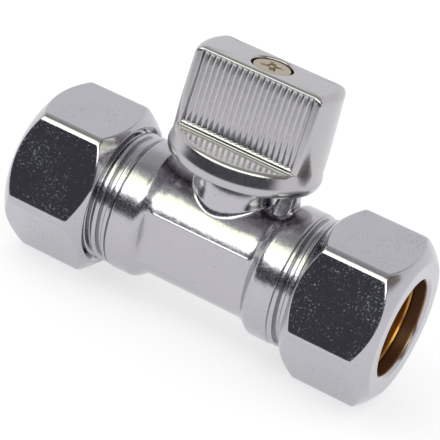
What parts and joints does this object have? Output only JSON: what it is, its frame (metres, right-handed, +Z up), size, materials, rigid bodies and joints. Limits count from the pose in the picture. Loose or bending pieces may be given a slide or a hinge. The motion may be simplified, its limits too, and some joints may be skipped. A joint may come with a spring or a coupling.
{
  "type": "isolating valve",
  "caption": "Chrome-plated quarter-turn isolating ball valve for copper pipe, with compression nuts and olives at both ends and a ribbed knob handle held by a screw.",
  "frame": {"origin": "ball centre, where the pipe axis and the spindle axis cross", "axes": "+X along the pipe, +Z up the spindle through the handle, +Y across the pipe; the handle lies along X when the valve is open"},
  "size_m": [0.0634, 0.0268, 0.0421],
  "materials": {
    "chromed_brass_forging": "bright chrome plating over a hot brass forging",
    "chromed_brass_nut": "bright chrome plating over turned brass",
    "chromed_zinc_casting": "bright chrome plating over die-cast zinc",
    "chromed_ball": "polished chrome-plated brass",
    "turned_brass": "bright turned brass",
    "ptfe": "smooth white seal plastic",
    "nitrile_rubber": "smooth moulded rubber",
    "plated_steel": "zinc-plated steel"
  },
  "bodies": {
    "casing": {"valve_body": "chromed_brass_forging", "seat_left": "ptfe", "seat_right": "ptfe", "seat_retainer": "turned_brass"},
    "turning_group": {"handle": "chromed_zinc_casting", "handle_screw": "plated_steel", "screw_washer": "plated_steel", "spindle": "turned_brass", "thrust_washer": "ptfe", "spindle_ring_lower": "nitrile_rubber", "spindle_ring_upper": "nitrile_rubber", "ball": "chromed_ball"},
    "left_olive": {"olive_left": "turned_brass"},
    "right_olive": {"olive_right": "turned_brass"},
    "left_nut": {"nut_left": "chromed_brass_nut"},
    "right_nut": {"nut_right": "chromed_brass_nut"}
  },
  "joints": [
    {"name": "handle_turn", "type": "hinge", "parent": "casing", "child": "turning_group", "pos_m": [0, 0, 0], "axis": [0, 0, -1], "range_deg": [0, 90]},
    {"name": "right_travel", "type": "slide", "parent": "casing", "child": "right_olive", "axis": [1, 0, 0], "range_m": [0, 0.0046]},
    {"name": "right_nut_turn", "type": "hinge", "parent": "right_olive", "child": "right_nut", "pos_m": [0.024, 0, 0], "axis": [1, 0, 0], "range_deg": [0, 900]},
    {"name": "left_travel", "type": "slide", "parent": "casing", "child": "left_olive", "axis": [-1, 0, 0], "range_m": [0, 0.0046]},
    {"name": "left_nut_turn", "type": "hinge", "parent": "left_olive", "child": "left_nut", "pos_m": [-0.024, 0, 0], "axis": [-1, 0, 0], "range_deg": [0, 900]}
  ],
  "couplings": [
    {"joint": "right_travel", "follows": "right_nut_turn", "m_per_rad": 0.00028871},
    {"joint": "left_travel", "follows": "left_nut_turn", "m_per_rad": 0.00028871}
  ]
}
